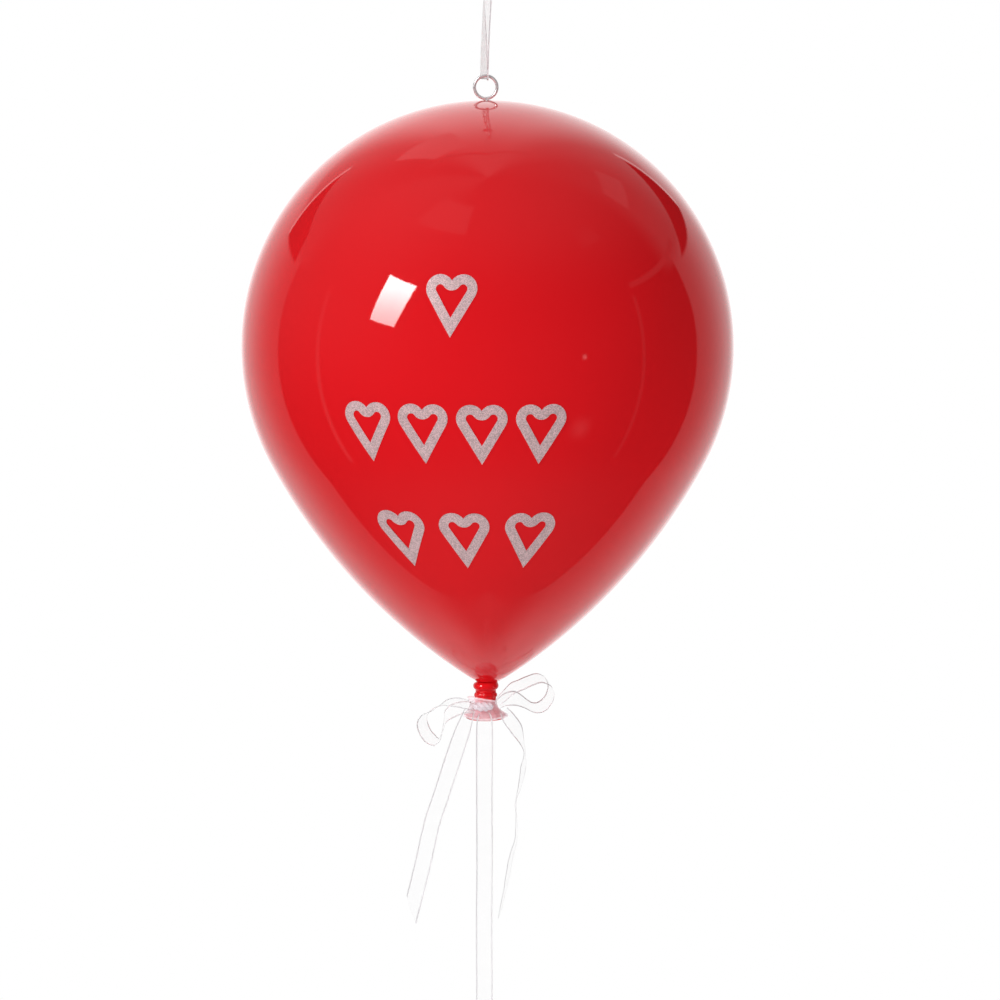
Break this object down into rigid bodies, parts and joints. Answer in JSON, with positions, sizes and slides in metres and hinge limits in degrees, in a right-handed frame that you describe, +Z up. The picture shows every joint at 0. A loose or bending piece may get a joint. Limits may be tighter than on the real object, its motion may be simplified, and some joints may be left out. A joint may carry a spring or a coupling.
{
  "type": "hanging display balloon",
  "caption": "Rigid glossy teardrop balloon hung from a metal eye by a ribbon loop, with heart stickers, a moulded neck, a sheer bow and a trailing ribbon.",
  "frame": {"origin": "inside top of the ribbon's hanging loop, where a hook carries the object", "axes": "+Z up along the balloon's axis, -Y towards the front with the stickers, +X to the right seen from the front"},
  "size_m": [0.2, 0.2, 0.5143],
  "materials": {
    "red_shell": "high gloss lacquer",
    "chrome_eye": "polished",
    "zinc_steel": "zinc plated",
    "glitter_film": "silver glitter",
    "organza": "sheer with woven edges"
  },
  "bodies": {
    "hook_end": {"hanger_loop": "organza", "hanger_knot": "organza"},
    "strap": {"hanger_ribbon": "organza"},
    "balloon": {"balloon_shell": "red_shell", "neck_stopper": "red_shell", "screw_eye": "chrome_eye", "crown_washer": "zinc_steel", "crown_nut": "zinc_steel", "heart_decal_1": "glitter_film", "heart_decal_2": "glitter_film", "heart_decal_3": "glitter_film", "heart_decal_4": "glitter_film", "heart_decal_5": "glitter_film", "heart_decal_6": "glitter_film", "heart_decal_7": "glitter_film", "heart_decal_8": "glitter_film", "neck_wrap": "organza", "bow_knot": "organza", "bow_loop_left": "organza", "bow_loop_right": "organza"},
    "left_tail": {"bow_tail_left": "organza"},
    "right_tail": {"bow_tail_right": "organza"},
    "string": {"string_ribbon": "organza"}
  },
  "joints": [
    {"name": "ribbon_twist", "type": "hinge", "parent": "hook_end", "child": "strap", "pos_m": [0, 0, -0.0278], "axis": [0, 0, 1], "range_deg": [-180, 180], "stiffness_Nm_per_rad": 0.00007},
    {"name": "balloon_swing", "type": "hinge", "parent": "strap", "child": "balloon", "pos_m": [0, 0, -0.0652], "axis": [1, 0, 0], "range_deg": [-35, 35]},
    {"name": "left_tail_swing", "type": "hinge", "parent": "balloon", "child": "left_tail", "pos_m": [-0.0074, -0.0098, -0.3226], "axis": [0, 1, 0], "range_deg": [0, 20]},
    {"name": "right_tail_swing", "type": "hinge", "parent": "balloon", "child": "right_tail", "pos_m": [0.0062, -0.0093, -0.3222], "axis": [0, 1, 0], "range_deg": [-20, 0]},
    {"name": "string_swing", "type": "hinge", "parent": "balloon", "child": "string", "pos_m": [-0.0014, -0.009, -0.3241], "axis": [1, 0, 0], "range_deg": [-35, 0]}
  ]
}
